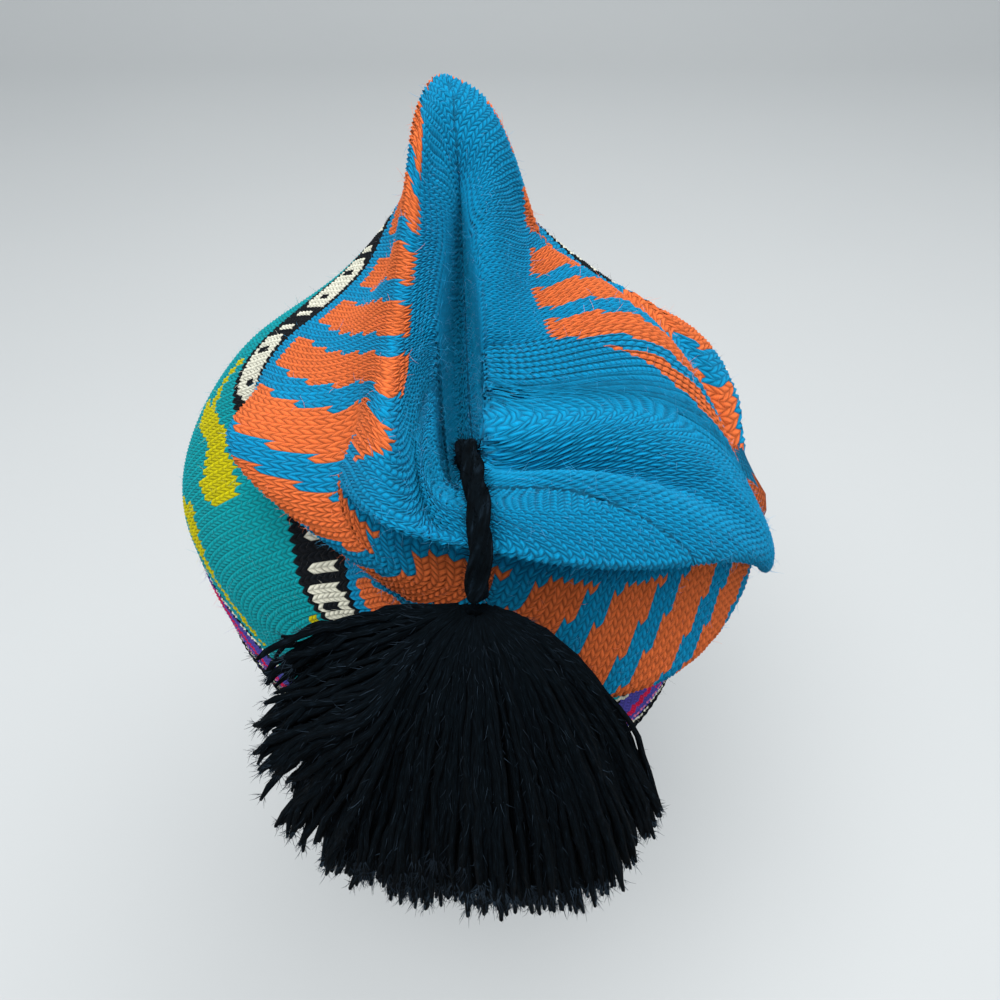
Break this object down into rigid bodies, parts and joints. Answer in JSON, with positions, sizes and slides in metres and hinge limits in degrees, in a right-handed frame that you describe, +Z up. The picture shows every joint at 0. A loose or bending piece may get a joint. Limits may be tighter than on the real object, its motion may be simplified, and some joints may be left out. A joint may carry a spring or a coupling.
{
  "type": "bobble hat",
  "caption": "Slouched knitted bobble hat with a drawn-up peak, a folded-back crown and a yarn pompom hanging from a cord.",
  "frame": {"origin": "centre of the rim's opening, in the plane of the lowest edge, where the hat sits on a head", "axes": "+Z up through the crown, +Y to the wearer's front, +X to the wearer's right; the pompom hangs at the back, on -Y"},
  "size_m": [0.1745, 0.25, 0.1858],
  "materials": {
    "knit_wool": "stranded wool knit in blue, orange, teal, yellow, cream, black and purple, matt and slightly fuzzy",
    "edging_yarn": "black wool, matt",
    "cord_yarn": "black twisted wool cord, matt",
    "pompom_yarn": "black plush yarn with cut ends, matt"
  },
  "bodies": {
    "root": {"knitted_body": "knit_wool", "rim_edging": "edging_yarn", "hanging_cord": "cord_yarn", "pompom": "pompom_yarn"}
  },
  "joints": []
}
